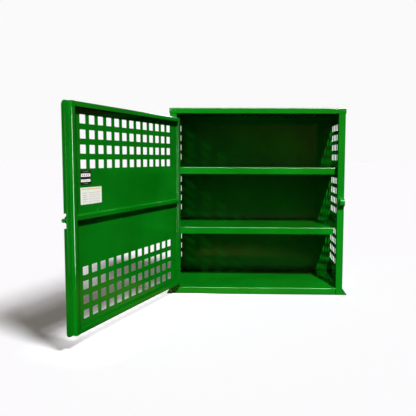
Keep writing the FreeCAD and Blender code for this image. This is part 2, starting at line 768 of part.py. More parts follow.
def rail(edge, sign):
    """Channel between the stiles, whose wall runs on to meet both of theirs."""
    up, down = ("+y", "-y") if sign > 0 else ("-y", "+y")
    channel = folded(
        (0, edge - s.frame_foot * sign),
        [(up, s.frame_foot), ("+x", s.frame_depth), (down, s.rail_lip)],
        -sign,
        DOOR_WIDTH - s.stile_lip * 2,
        "x",
    )
    at(channel, s.stile_lip, 0, 0)
    wall = sorted([edge, edge - s.gauge * sign], key=lambda size: size.value)
    depth = (s.gauge + s.bend, s.frame_depth - s.gauge - s.bend)
    ends = [
        box((s.gauge, s.stile_lip), depth, wall),
        box((DOOR_WIDTH - s.stile_lip, DOOR_WIDTH - s.gauge), depth, wall),
    ]
    return fuse([channel] + ends)


def stiffener():
    """Hat channel across the middle, with its crown level with the lips."""
    rise = s.frame_depth - s.gauge
    hat = folded(
        (s.gauge, STIFFENER_TOP - s.stiffener_crown - s.stiffener_foot),
        [
            ("+y", s.stiffener_foot),
            ("+x", rise),
            ("+y", s.stiffener_crown),
            ("-x", rise),
            ("+y", s.stiffener_foot),
        ],
        1,
        DOOR_WIDTH - s.stile_lip * 2,
        "x",
    )
    at(hat, s.stile_lip, 0, 0)
    return cut(hat, group(latch_holes(["upper"])))


def label(width, height, bottom):
    """Sticker on the inner face of the door."""
    right = DOOR_WIDTH - s.label_start
    return box((right - width, right), (0, s.label_gauge), (bottom, bottom + height))


on_door("door_skin", door_skin())
on_door("door_stile_free", stile(DOOR_WIDTH, 1))
on_door("door_stile_hinge", stile(ZERO, -1))
on_door("door_rail_top", rail(DOOR_HEIGHT, 1))
on_door("door_rail_bottom", rail(ZERO, -1))
on_door("door_stiffener", stiffener())
on_door("warning_label", label(s.warning_width, s.warning_height, s.warning_bottom))
on_door("rating_label", label(s.rating_width, s.rating_height, s.rating_bottom))


# ---------------------------------------------------------------------------------------------
# The latch
# ---------------------------------------------------------------------------------------------
def backplate():
    """Plate riveted to the outside of the door."""
    low, high = s.latch_height - s.plate_height / 2, s.latch_height + s.plate_height / 2
    corners = [(PLATE_END - s.plate_length, low), (PLATE_END, low)]
    corners += [(PLATE_END, high), (PLATE_END - s.plate_length, high)]
    flat = prism(corners, s.plate_gauge, "-y", [(corners, s.plate_corner)])
    at(flat, 0, SKIN_OUTER, 0)
    return cut(flat, group(latch_holes()))


def upright(start, foot, reach, bore, padlock):
    """Plate that stands square to the bolt, bored for it and, if asked, for a padlock."""
    outer = BOLT_Y - reach
    low, high = s.latch_height - s.guide_width / 2, s.latch_height + s.guide_width / 2
    ends = [(outer, low), (outer, high)]
    blank = prism([(foot, low), ends[0], ends[1], (foot, high)], s.guide_gauge, "x", [(ends, s.lug_corner)])
    at(blank, start, 0, 0)
    bores = [bar(bore, s.guide_gauge, (start, BOLT_Y, s.latch_height), "x")]
    if padlock:
        hole = (start, BOLT_Y - s.padlock_reach, s.latch_height)
        bores.append(bar(s.padlock_radius, s.guide_gauge, hole, "x"))
    return cut(blank, group(bores))


LUG_START = PLATE_END - s.lug_inset - s.guide_gauge
HANDLE_START = LUG_START - s.handle_gap - s.guide_gauge - s.bolt_travel
PADLOCK_END = s.padlock_reach + s.padlock_radius + s.padlock_wall
BOLT_TIP = KEEPER_ON_DOOR - s.bolt_drawn_gap
loose = s.bolt_radius + s.bolt_play
front_start = PLATE_END - s.guide_inset - s.guide_gauge
rear_start = PLATE_END - s.plate_length + s.guide_inset

on_door("latch_backplate", backplate())
on_door("padlock_lug", upright(LUG_START, PLATE_OUTER, PADLOCK_END, loose, True))
on_door("bolt_guide_front", upright(front_start, PLATE_OUTER, s.guide_reach, loose, False))
on_door("bolt_guide_rear", upright(rear_start, PLATE_OUTER, s.guide_reach, loose, False))
latch_rivets = [
    rivet(centre, grip, along, s.rivet_radius, s.rivet_head, shank)
    for row in ("lower", "upper")
    for centre, grip, along, shank in latch_spots(row)
]
on_door("latch_rivets", group(latch_rivets))

rod = bar(s.bolt_radius, s.bolt_length, (BOLT_TIP - s.bolt_length, BOLT_Y, s.latch_height), "x")
on_door("slide_bolt", rod)
handle_foot = PLATE_OUTER - s.handle_gap
on_door("bolt_handle", upright(HANDLE_START, handle_foot, PADLOCK_END, s.bolt_radius, True))


# ---------------------------------------------------------------------------------------------
# Check and write
# ---------------------------------------------------------------------------------------------
doc.recompute()
for obj in doc.Objects:
    if any(word in obj.State for word in ("Invalid", "Error")):
        raise RuntimeError(f"{obj.Name} ({obj.Label}) failed: {obj.State}")
for piece in nodes:
    shape = piece.Shape
    if shape.isNull() or not shape.isValid() or not shape.Solids:
        raise RuntimeError(f"{piece.Label} has no sound solid")
    shape.exportStep(f"parts/{piece.Label}.step")
print(len(nodes), "pieces written")
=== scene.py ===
# %% [markdown]
# # A green enamelled tool cabinet
# The cabinet is folded and welded steel sheet under a thick gloss enamel: a case with two shelves,
# perforated sides, and a perforated door that stands open on the left with a slide bolt on its
# outer face. The measured model gives every place and size. This file gives each piece the
# finish of the real one: rounded arrises, rivets, spot welds, printed stickers, paint and light.

# %% Load the measured model
import json
import math

import bmesh
import bpy
from mathutils import Matrix, Vector


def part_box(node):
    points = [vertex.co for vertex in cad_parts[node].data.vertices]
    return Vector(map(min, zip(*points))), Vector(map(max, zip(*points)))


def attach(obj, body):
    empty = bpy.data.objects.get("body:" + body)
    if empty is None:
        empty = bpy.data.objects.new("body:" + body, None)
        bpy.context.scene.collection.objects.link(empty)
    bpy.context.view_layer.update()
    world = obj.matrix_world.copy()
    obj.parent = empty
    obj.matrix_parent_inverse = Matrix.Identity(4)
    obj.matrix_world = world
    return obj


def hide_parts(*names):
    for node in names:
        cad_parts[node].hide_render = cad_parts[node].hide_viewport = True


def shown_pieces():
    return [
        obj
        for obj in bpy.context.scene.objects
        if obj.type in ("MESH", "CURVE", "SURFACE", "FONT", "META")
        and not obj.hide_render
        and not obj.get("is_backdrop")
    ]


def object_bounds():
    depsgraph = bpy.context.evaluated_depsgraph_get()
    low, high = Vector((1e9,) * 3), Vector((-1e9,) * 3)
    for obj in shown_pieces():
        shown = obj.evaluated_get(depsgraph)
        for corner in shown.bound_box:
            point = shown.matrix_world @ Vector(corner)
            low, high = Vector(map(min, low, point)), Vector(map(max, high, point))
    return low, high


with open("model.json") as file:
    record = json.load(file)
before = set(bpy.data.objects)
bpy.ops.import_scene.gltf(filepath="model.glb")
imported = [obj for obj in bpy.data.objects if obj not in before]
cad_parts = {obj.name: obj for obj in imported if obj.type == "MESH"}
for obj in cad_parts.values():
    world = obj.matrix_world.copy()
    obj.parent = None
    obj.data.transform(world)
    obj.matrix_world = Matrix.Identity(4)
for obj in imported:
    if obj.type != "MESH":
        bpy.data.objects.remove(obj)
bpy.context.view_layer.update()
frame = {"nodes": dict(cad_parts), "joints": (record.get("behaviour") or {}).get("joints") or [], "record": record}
nodes = frame["nodes"]
MM = 0.001

# %% [markdown]
# ## Where the door is
# The door is drawn open, so its sheets lie at an odd angle. It is easier to build each of its
# pieces on the shut door, where they are square to the axes, and then to swing them. The hinge
# says how far: its range goes from the shut door to the widest opening, with rest at nought.

# %% The swing of the door
hinge = next(joint for joint in frame["joints"] if joint["name"] == "door_hinge")
pin = Matrix.Translation(Vector(hinge["pos_m"]))
opened = math.radians(-hinge["range_deg"][0])
swing = pin @ Matrix.Rotation(opened, 4, Vector(hinge["axis"])) @ pin.inverted()


def shut_box(node):
    """Lowest and highest corner of one of the door's pieces, on the shut door."""
    back = swing.inverted()
    points = [back @ vertex.co for vertex in nodes[node].data.vertices]
    low = Vector([min(point[i] for point in points) for i in range(3)])
    high = Vector([max(point[i] for point in points) for i in range(3)])
    return low, high


skin_low, skin_high = shut_box("door_skin")
print("the door stands open by", round(math.degrees(opened), 1), "degrees")
print("its skin is", [round(c / MM, 1) for c in skin_high - skin_low], "mm when shut")

# %% [markdown]
# ## Colour and nodes
# Paint colours are usually written as hex values, as a screen shows them. Blender mixes light
# in linear values, so one function turns the one into the other. A second one adds a node with
# its settings and its links, for materials and for Geometry Nodes alike.


# %% Two small helpers
def linear(code, alpha=1.0):
    """A hex colour as the linear values that a shader reads."""
    shown = [int(code[i:i + 2], 16) / 255 for i in (1, 3, 5)]
    return [c / 12.92 if c <= 0.04045 else ((c + 0.055) / 1.055) ** 2.4 for c in shown] + [alpha]


def add(tree, kind, inputs=(), **settings):
    """Add a node. inputs maps a socket's name or number to a value or to another node's output."""
    node = tree.nodes.new(kind)
    for name, value in settings.items():
        setattr(node, name, value)
    for key, value in dict(inputs).items():
        if isinstance(value, bpy.types.NodeSocket):
            tree.links.new(value, node.inputs[key])
        else:
            node.inputs[key].default_value = value
    return node


print("grass green in linear values:", [round(c, 3) for c in linear("#0d7519")][:3])

# %% [markdown]
# ## Stoving enamel
# The sheet is sprayed with alkyd enamel and baked. The film is smooth and hard, and it flows a
# little before it sets, so its surface has a shallow ripple called orange peel, its gloss
# changes a little from place to place, and it gathers darker in the folds. Real orange peel is
# about 3 mm from crest to crest. Here a second ripple of 25 mm is added, because the fine one
# is too small to bend a reflection that one can see from two metres away.


# %% Green enamel
def new_material(name):
    material = bpy.data.materials.new(name)
    material.use_nodes = True
    tree = material.node_tree
    return material, tree, tree.nodes["Principled BSDF"]


def sprayed_enamel(name, coat, thin, gloss):
    material, tree, shader = new_material(name)
    spot = add(tree, "ShaderNodeTexCoord").outputs["Object"]
    # The film's thickness drifts over a hand's width or two, as the spray gun passes.
    film = add(tree, "ShaderNodeTexNoise", {"Vector": spot, "Scale": 1 / (160 * MM), "Detail": 2.0})
    blend = add(tree, "ShaderNodeMapRange", {0: film.outputs[0], 1: 0.35, 2: 0.68, 3: 0.0, 4: 1.0})
    hue = add(
        tree,
        "ShaderNodeMix",
        {0: blend.outputs[0], 6: linear(coat), 7: linear(thin)},
        data_type="RGBA",
    )
    tree.links.new(hue.outputs[2], shader.inputs["Base Color"])
    # Handling dulls the gloss in cloudy patches a finger's width or two across.
    wear = add(tree, "ShaderNodeTexNoise", {"Vector": spot, "Scale": 1 / (35 * MM), "Detail": 4.0})
    dull = add(
        tree,
        "ShaderNodeMapRange",
        {0: wear.outputs[0], 1: 0.3, 2: 0.75, 3: gloss, 4: gloss + 0.07},
    )
    tree.links.new(dull.outputs[0], shader.inputs["Roughness"])
    peel = add(tree, "ShaderNodeTexNoise", {"Vector": spot, "Scale": 1 / (3 * MM), "Detail": 1.0})
    flow = add(tree, "ShaderNodeTexNoise", {"Vector": spot, "Scale": 1 / (25 * MM), "Detail": 1.0})
    fine = add(
        tree,
        "ShaderNodeBump",
        {"Height": peel.outputs[0], "Strength": 0.08, "Distance": 0.05 * MM},
    )
    broad = add(
        tree,
        "ShaderNodeBump",
        {"Height": flow.outputs[0], "Strength": 0.2, "Distance": 0.3 * MM, "Normal": fine.outputs[0]},
    )
    tree.links.new(broad.outputs[0], shader.inputs["Normal"])
    shader.inputs["IOR"].default_value = 1.52
    shader.inputs["Coat Weight"].default_value = 0.2
    shader.inputs["Coat Roughness"].default_value = 0.05
    return material


enamel = sprayed_enamel("stoving_enamel_green", "#046a0c", "#087612", 0.07)
print(enamel.name, "has", len(enamel.node_tree.nodes), "nodes")

# %% [markdown]
# ## Zinc-plated steel
# The hinge pins and washers are bare, bright zinc. Barrel plating leaves a satin surface with
# fine lines round the wire it was drawn from, and a cloudy grey bloom as the zinc ages.


# %% Zinc plate
def zinc_plate(name):
    material, tree, shader = new_material(name)
    spot = add(tree, "ShaderNodeTexCoord").outputs["Object"]
    bloom = add(tree, "ShaderNodeTexNoise", {"Vector": spot, "Scale": 1 / (6 * MM), "Detail": 4.0})
    hue = add(
        tree,
        "ShaderNodeMix",
        {0: bloom.outputs[0], 6: linear("#c9cccf"), 7: linear("#9fa3a6")},
        data_type="RGBA",
    )
    tree.links.new(hue.outputs[2], shader.inputs["Base Color"])
    # Drawing lines 0.4 mm apart, stacked along the upright pin.
    drawn = add(
        tree,
        "ShaderNodeTexWave",
        {"Vector": spot, "Scale": 1 / (0.4 * MM) / 20, "Distortion": 2.0},
        bands_direction="Z",
    )
    dull = add(tree, "ShaderNodeMapRange", {0: drawn.outputs[1], 1: 0.0, 2: 1.0, 3: 0.28, 4: 0.42})
    tree.links.new(dull.outputs[0], shader.inputs["Roughness"])
    shader.inputs["Metallic"].default_value = 1.0
    return material


zinc = zinc_plate("zinc_plated_steel")
print(zinc.name, "has", len(zinc.node_tree.nodes), "nodes")

# %% [markdown]
# ## A worked copy of a measured piece
# Folded channels, shelves and brackets already have the right shape, but every cut edge of the
# measured mesh is knife-sharp. On real sheet the guillotine and the paint round each arris a
# little, and that thin line is what catches the light. So a copy is merged into one skin, its
# flat faces are joined again, and a Bevel rounds the arrises.


# %% Rounding the arrises
def put_in_scene(name, mesh, material):
    piece = bpy.data.objects.new(name, mesh)
    bpy.context.scene.collection.objects.link(piece)
    mesh.materials.clear()
    mesh.materials.append(material)
    return piece


def round_arrises(piece, width, steps=2):
    for face in piece.data.polygons:
        face.use_smooth = True
    bevel = piece.modifiers.new("arris", "BEVEL")
    bevel.width = width
    bevel.segments = steps
    bevel.limit_method = "ANGLE"
    bevel.angle_limit = math.radians(35)
    bevel.harden_normals = True
    bevel.miter_outer = "MITER_ARC"
    return piece


def worked_copy(node, material, arris, body):
    """A merged copy of a measured piece, with rounded arrises, that stands in for it."""
    work = bmesh.new()
    work.from_mesh(nodes[node].data)
    bmesh.ops.remove_doubles(work, verts=work.verts, dist=0.002 * MM)
    bmesh.ops.dissolve_limit(
        work, angle_limit=math.radians(1), verts=work.verts, edges=work.edges, use_dissolve_boundaries=False
    )
    bmesh.ops.recalc_face_normals(work, faces=work.faces)
    mesh = bpy.data.meshes.new(f"{node}_worked")
    work.to_mesh(mesh)
    work.free()
    stale = mesh.attributes.get("custom_normal")
    if stale:
        mesh.attributes.remove(stale)
    piece = round_arrises(put_in_scene(f"{node}_worked", mesh, material), arris)
    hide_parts(node)
    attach(piece, body)
    return piece


subparts = {entry["node"]: entry["material_slot"] for entry in frame["record"]["subparts"]}
finish_of = {"enamel": enamel, "zinc_steel": zinc}
bodies = frame["record"]["behaviour"]["bodies"]
body_of = {node: body for body, members in bodies.items() for node in members}
folded_nodes = sorted(
    node
    for node in nodes
    if node not in ("door_skin", "side_panel_left", "side_panel_right")
    and not node.endswith("_label")
    and not node.endswith("_rivets")
)
for node in folded_nodes:
    small = node.startswith(("hinge", "slide"))
    arris = (0.2 if small else 0.35) * MM
    piece = worked_copy(node, finish_of[subparts[node]], arris, body_of[node])
print(len(folded_nodes), "pieces copied and rounded")

# %% [markdown]
# ## Perforated sheet
# A turret press nibbles the door and the sides with one square tool, row by row, so the holes
# are equal and their corners follow the tool's own small radius. One could model each hole, or
# cut them with an Array. Geometry Nodes do it like the press: a grid of points says where the
# tool comes down, one punch is built and copied to each point, and a Boolean takes them out.


# %% The press as a node tree
def node_group(name, sockets):
    tree = bpy.data.node_groups.new(name, "GeometryNodeTree")
    tree.interface.new_socket("Geometry", in_out="INPUT", socket_type="NodeSocketGeometry")
    for label, kind in sockets:
        tree.interface.new_socket(label, in_out="INPUT", socket_type=f"NodeSocket{kind}")
    tree.interface.new_socket("Geometry", in_out="OUTPUT", socket_type="NodeSocketGeometry")
    return tree, add(tree, "NodeGroupInput").outputs


def close_group(tree, geometry, given):
    """Every tree ends the same way: real geometry, with its material."""
    real = add(tree, "GeometryNodeRealizeInstances", {0: geometry})
    done = add(tree, "GeometryNodeSetMaterial", {0: real.outputs[0], "Material": given["Finish"]})
    add(tree, "NodeGroupOutput", {0: done.outputs[0]})
    return tree


def punch_tree():
    tree, given = node_group("square_punching", [
        ("Columns", "Int"), ("Rows", "Int"), ("Column pitch", "Float"), ("Row pitch", "Float"),
        ("First hole", "Vector"), ("Hole size", "Float"), ("Tool radius", "Float"),
        ("Finish", "Material"),
    ])
    spans = []
    for count, pitch in (("Columns", "Column pitch"), ("Rows", "Row pitch")):
        gaps = add(tree, "ShaderNodeMath", {0: given[count], 1: 1.0}, operation="SUBTRACT")
        spans.append(add(
            tree, "ShaderNodeMath", {0: gaps.outputs[0], 1: given[pitch]}, operation="MULTIPLY"
        ))
    grid = add(tree, "GeometryNodeMeshGrid", {
        "Size X": spans[0].outputs[0], "Size Y": spans[1].outputs[0],
        "Vertices X": given["Columns"], "Vertices Y": given["Rows"],
    })
    halves = [
        add(tree, "ShaderNodeMath", {0: span.outputs[0], 1: 0.5}, operation="MULTIPLY") for span in spans
    ]
    centre = add(tree, "ShaderNodeCombineXYZ", {0: halves[0].outputs[0], 1: halves[1].outputs[0]})
    shift = add(
        tree, "ShaderNodeVectorMath", {0: centre.outputs[0], 1: given["First hole"]}, operation="ADD"
    )
    placed = add(
        tree,
        "GeometryNodeTransform",
        {"Geometry": grid.outputs[0], "Translation": shift.outputs[0]},
    )
    square = add(
        tree,
        "GeometryNodeCurvePrimitiveQuadrilateral",
        {0: given["Hole size"], 1: given["Hole size"]},
    )
    tool = add(
        tree,
        "GeometryNodeFilletCurve",
        {"Curve": square.outputs[0], "Radius": given["Tool radius"], "Count": 3},
        mode="POLY",
    )
    face = add(tree, "GeometryNodeFillCurve", {"Curve": tool.outputs[0]}, mode="NGONS")
    risen = add(
        tree,
        "GeometryNodeExtrudeMesh",
        {"Mesh": face.outputs[0], "Offset Scale": 6 * MM, "Individual": False},
    )
    foot = add(tree, "GeometryNodeFlipFaces", {0: face.outputs[0]})
    both = add(tree, "GeometryNodeJoinGeometry")
    tree.links.new(risen.outputs[0], both.inputs[0])
    tree.links.new(foot.outputs[0], both.inputs[0])
    whole = add(tree, "GeometryNodeMergeByDistance", {"Geometry": both.outputs[0], "Distance": 0.001 * MM})
    punches = add(
        tree,
        "GeometryNodeInstanceOnPoints",
        {"Points": placed.outputs[0], "Instance": whole.outputs[0]},
    )
    solid = add(tree, "GeometryNodeRealizeInstances", {0: punches.outputs[0]})
    holed = add(tree, "GeometryNodeMeshBoolean", {0: given["Geometry"], 1: solid.outputs[0]},
                operation="DIFFERENCE", solver="EXACT")
    return close_group(tree, holed.outputs[0], given)


square_punching = punch_tree()
print(square_punching.name, "has", len(square_punching.nodes), "nodes")


# %% Running a tree and keeping what it makes
def run_tree(piece, tree, **values):
    """Give the piece a Geometry Nodes modifier, set its inputs, and keep the result as its mesh."""
    modifier = piece.modifiers.new(tree.name, "NODES")
    modifier.node_group = tree
    for socket in tree.interface.items_tree:
        key = socket.name.lower().replace(" ", "_")
        if socket.item_type == "SOCKET" and socket.in_out == "INPUT" and key in values:
            modifier[socket.identifier] = values[key]
    view = bpy.context.evaluated_depsgraph_get()
    made = bpy.data.meshes.new_from_object(piece.evaluated_get(view), depsgraph=view)
    piece.modifiers.remove(modifier)
    made.name = piece.name
    piece.data = made
    return piece


def blank(name, outline, thickness):
    """A flat blank: its outline lies in X and Y, and the sheet is between Z = 0 and the thickness."""
    work = bmesh.new()
    face = work.faces.new([work.verts.new((x, y, 0)) for x, y in outline])
    lifted = bmesh.ops.extrude_face_region(work, geom=[face])
    risen = [item for item in lifted["geom"] if isinstance(item, bmesh.types.BMVert)]
    bmesh.ops.translate(work, verts=risen, vec=(0, 0, thickness))
    bmesh.ops.recalc_face_normals(work, faces=work.faces)
    mesh = bpy.data.meshes.new(name)
    work.to_mesh(mesh)
    work.free()
    return put_in_scene(name, mesh, enamel)


def rounded_outline(corners, steps=6):
    """Corner points (x, y, radius) as one outline, with an arc at each corner that has a radius."""
    outline = []
    for index, (x, y, radius) in enumerate(corners):
        here = Vector((x, y))
        before = (Vector(corners[index - 1][:2]) - here).normalized()
        after = (Vector(corners[(index + 1) % len(corners)][:2]) - here).normalized()
        if not radius:
            outline.append((x, y))
            continue
        centre = here + (before + after) * radius
        for step in range(steps + 1):
            turn = math.pi / 2 * step / steps
            spot = centre - after * radius * math.cos(turn) - before * radius * math.sin(turn)
            outline.append((spot.x, spot.y))
    return outline


sample = rounded_outline([(0, 0, 12), (40, 0, 0), (0, 40, 0)])
print("a blank's corner of 12 mm is drawn with", len(sample) - 2, "points")

# %% [markdown]
# ## The door skin
# One blank with two rounded free corners, a notch for the keeper, and two groups of thirteen by
# four holes. Everything is measured from the skin's own box, on the shut door.

# %% Press the door skin
HOLE = 22 * MM
ROW_PITCH = 37 * MM
TOOL_RADIUS = 1.6 * MM
FREE_CORNER = 12 * MM
skin_size = skin_high - skin_low
keeper_low, keeper_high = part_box("bolt_keeper")
keeper_middle = (keeper_low.z + keeper_high.z) / 2
notch_half = 18 * MM
notch_edge = keeper_low.x - 2 * MM - skin_low.x
notch_foot, notch_head = [keeper_middle - skin_low.z + side * notch_half for side in (-1, 1)]
skin_outline = rounded_outline([
    (0, 0, 0),
    (skin_size.x, 0, FREE_CORNER),
    (skin_size.x, notch_foot, 0),
    (notch_edge, notch_foot, 2 * MM),
    (notch_edge, notch_head, 2 * MM),
    (skin_size.x, notch_head, 0),
    (skin_size.x, skin_size.z, FREE_CORNER),
    (0, skin_size.z, 0),
])
door_skin = blank("door_skin_pressed", skin_outline, skin_size.y)
stile_high = shut_box("door_stile_free")[1].x - skin_low.x
first_column = 62.3 * MM
column_pitch = (stile_high - 52.5 * MM - first_column) / 12
for first_row in (40.5 * MM, skin_size.z - 40 * MM - 3 * ROW_PITCH):
    run_tree(
        door_skin, square_punching, columns=13, rows=4, column_pitch=column_pitch, row_pitch=ROW_PITCH,
        first_hole=(first_column, first_row, -2 * MM), hole_size=HOLE, tool_radius=TOOL_RADIUS,
        finish=enamel,
    )
print("door holes every", round(column_pitch / MM, 2), "mm;", len(door_skin.data.polygons), "faces")

# %% [markdown]
# A blank is drawn flat and then stood up: its X runs along the door, its Y becomes the height,
# and its thickness points out of the front. The place goes into the mesh, so that the object
# itself stays at the origin and its paint does not slide.


# %% Stand the skin up and hang it
def stand(piece, along, out, corner, door=False):
    """Turn a flat piece so that X runs along, Y up and Z out, move it, and swing it if asked."""
    along, out = Vector(along), Vector(out)
    turn = Matrix((along, Vector((0, 0, 1)), out)).transposed().to_4x4()
    place = Matrix.Translation(Vector(corner)) @ turn
    piece.data.transform(swing @ place if door else place)
    return piece


def settle(piece, body, slot, *stands_for):
    """Say which body a piece rides on and what it stands in for. The slot is not used."""
    if stands_for:
        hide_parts(*stands_for)
    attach(piece, body)
    return piece


stand(door_skin, (1, 0, 0), (0, -1, 0), (skin_low.x, skin_high.y, skin_low.z), door=True)
round_arrises(door_skin, 0.3 * MM)
settle(door_skin, "door", "enamel", "door_skin")
print("the skin is hung")

# %% [markdown]
# ## The side panels
# The same tool, in three groups of seven by four, one group for each compartment.

# %% Press the two sides
SHELF_TOPS = [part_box(f"shelf_{level}")[1].z for level in ("lower", "upper")]
tray_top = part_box("base_tray")[1].z
row_starts = (tray_top + 65.5 * MM, SHELF_TOPS[0] + 47.7 * MM, SHELF_TOPS[1] + 36.3 * MM)
post_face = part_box("front_post_left")[0].y
for side in ("left", "right"):
    low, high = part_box(f"side_panel_{side}")
    size = high - low
    panel = blank(f"side_panel_{side}_pressed", [(0, 0), (size.y, 0), (size.y, size.z), (0, size.z)], size.x)
    for start in row_starts:
        run_tree(
            panel, square_punching, columns=7, rows=4, column_pitch=35.6 * MM, row_pitch=ROW_PITCH,
            first_hole=(post_face + 44 * MM - low.y, start - low.z, -2 * MM), hole_size=HOLE,
            tool_radius=TOOL_RADIUS, finish=enamel,
        )
    stand(panel, (0, 1, 0), (1, 0, 0), (low.x, low.y, low.z))
    round_arrises(panel, 0.3 * MM)
    settle(panel, "case", "enamel", f"side_panel_{side}")
print("each side has", 3 * 7 * 4, "holes")

# %% [markdown]
# ## Rivets and spot welds
# Pop rivets hold the top and the shelves, solid rivets hold the bolt's backplate, and a spot
# welder joins the door's frame to its skin, which leaves a row of shallow round dimples. All
# of these are one shape at many points, so one tree makes them: it takes a mesh that is only
# points, puts a flattened ball on each one, and turns it to the face that it sits on.


# %% A tree that sets buttons on points
def button_tree():
    tree, given = node_group("buttons_on_points", [
        ("Radius", "Float"), ("Height", "Float"), ("Facing", "Vector"),
        ("Unevenness", "Float"), ("Seed", "Int"), ("Finish", "Material"),
    ])
    ball = add(tree, "GeometryNodeMeshUVSphere", {"Segments": 16, "Rings": 8, "Radius": 1.0})
    smooth = add(tree, "GeometryNodeSetShadeSmooth", {0: ball.outputs[0]})
    turn = add(tree, "FunctionNodeAlignRotationToVector", {"Vector": given["Facing"]}, axis="Z")
    least = add(tree, "ShaderNodeMath", {0: 1.0, 1: given["Unevenness"]}, operation="SUBTRACT")
    luck = add(
        tree,
        "FunctionNodeRandomValue",
        {2: least.outputs[0], 3: 1.0, "Seed": given["Seed"]},
        data_type="FLOAT",
    )
    wide = add(tree, "ShaderNodeMath", {0: given["Radius"], 1: luck.outputs[1]}, operation="MULTIPLY")
    size = add(
        tree,
        "ShaderNodeCombineXYZ",
        {0: wide.outputs[0], 1: wide.outputs[0], 2: given["Height"]},
    )
    buttons = add(tree, "GeometryNodeInstanceOnPoints", {
        "Points": given["Geometry"], "Instance": smooth.outputs[0],
        "Rotation": turn.outputs[0], "Scale": size.outputs[0],
    })
    return close_group(tree, buttons.outputs[0], given)


buttons_on_points = button_tree()


def buttons(name, points, radius, height, facing, unevenness=0.0, door=False):
    mesh = bpy.data.meshes.new(name)
    mesh.from_pydata([tuple(point) for point in points], [], [])
    piece = put_in_scene(name, mesh, enamel)
    run_tree(
        piece, buttons_on_points, radius=radius, height=height, facing=facing, unevenness=unevenness,
        seed=7, finish=enamel,
    )
    if door:
        piece.data.transform(swing)
    return piece


print(buttons_on_points.name, "has", len(buttons_on_points.nodes), "nodes")

# %% Rivets on the case
POP_RADIUS = 2.4 * MM
POP_HEAD = 0.7 * MM
pop_low, pop_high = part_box("panel_rivets")
flange_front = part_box("top_panel")[0].y
pop_z = (pop_low.z + pop_high.z) / 2
pop_x = pop_high.x - POP_RADIUS
pop_points = [(sign * x, flange_front, pop_z) for sign in (-1, 1) for x in (pop_x, pop_x - 13 * MM)]
top_rivets = buttons("panel_rivets_set", pop_points, POP_RADIUS, POP_HEAD, (0, -1, 0))
settle(top_rivets, "case", "enamel", "panel_rivets")

rivet_low, rivet_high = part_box("shelf_rivets")
shelf_points = [
    (sign * (rivet_high.x - POP_RADIUS), y, top)
    for sign in (-1, 1)
    for y in (rivet_low.y + POP_RADIUS, rivet_high.y - POP_RADIUS)
    for top in SHELF_TOPS
]
shelf_rivets = buttons("shelf_rivets_set", shelf_points, POP_RADIUS, POP_HEAD, (0, 0, 1))
settle(shelf_rivets, "case", "enamel", "shelf_rivets")
print(len(pop_points), "rivets in the top flange and", len(shelf_points), "in the shelves")

# %% Rivets and spot welds on the door
RIVET_RADIUS = 3.5 * MM
RIVET_HEAD = 1.2 * MM
plate_low, plate_high = shut_box("latch_backplate")
latch_low, latch_high = shut_box("latch_rivets")
latch_points = [
    (x, plate_low.y, z)
    for x in (latch_low.x + RIVET_RADIUS, latch_high.x - RIVET_RADIUS)
    for z in (latch_low.z + RIVET_RADIUS, latch_high.z - RIVET_RADIUS)
]
outer_heads = buttons("latch_rivets_outer", latch_points, RIVET_RADIUS, RIVET_HEAD, (0, -1, 0), door=True)
STIFFENER_FOOT = 1.2 * MM
inner_points = [
    (x, skin_high.y + (STIFFENER_FOOT if z > latch_low.z + 10 * MM else 0), z) for x, _, z in latch_points
]
inner_heads = buttons("latch_rivets_inner", inner_points, RIVET_RADIUS, RIVET_HEAD, (0, 1, 0), door=True)
settle(outer_heads, "door", "enamel", "latch_rivets")
settle(inner_heads, "door", "enamel")

frame_high = shut_box("door_stile_free")[1]
weld_points = []
for step in range(14):
    z = skin_low.z + 20 * MM + (skin_size.z - 40 * MM) * step / 13
    weld_points += [(frame_high.x - 5 * MM, skin_low.y, z), (skin_low.x + 5 * MM, skin_low.y, z)]
for step in range(1, 13):
    x = skin_low.x + 20 * MM + (stile_high - 40 * MM) * step / 13
    weld_points += [(x, skin_low.y, skin_low.z + 5 * MM), (x, skin_low.y, skin_high.z - 5 * MM)]
WELD_RADIUS = 2.8 * MM
WELD_RISE = 0.12 * MM
spot_welds = buttons(
    "spot_welds_door", weld_points, WELD_RADIUS, WELD_RISE, (0, -1, 0), unevenness=0.25, door=True
)
settle(spot_welds, "door", "enamel")
print(len(weld_points), "spot welds round the door")

# %% [markdown]
# ## The stickers
# Two vinyl stickers are on the inner face of the door. The pattern belongs to the sticker and
# turns with it, so it is drawn on the sticker's own UV map: nought to one across and up. Their
# words are replaced with plain bars and blocks.


# %% Printed vinyl
def band(tree, along, low, high):
    """One inside a band of the map, nought outside it."""
    above = add(tree, "ShaderNodeMath", {0: along, 1: low}, operation="GREATER_THAN")
    below = add(tree, "ShaderNodeMath", {0: along, 1: high}, operation="LESS_THAN")
    inside = add(tree, "ShaderNodeMath", {0: above.outputs[0], 1: below.outputs[0]}, operation="MULTIPLY")
    return inside.outputs[0]


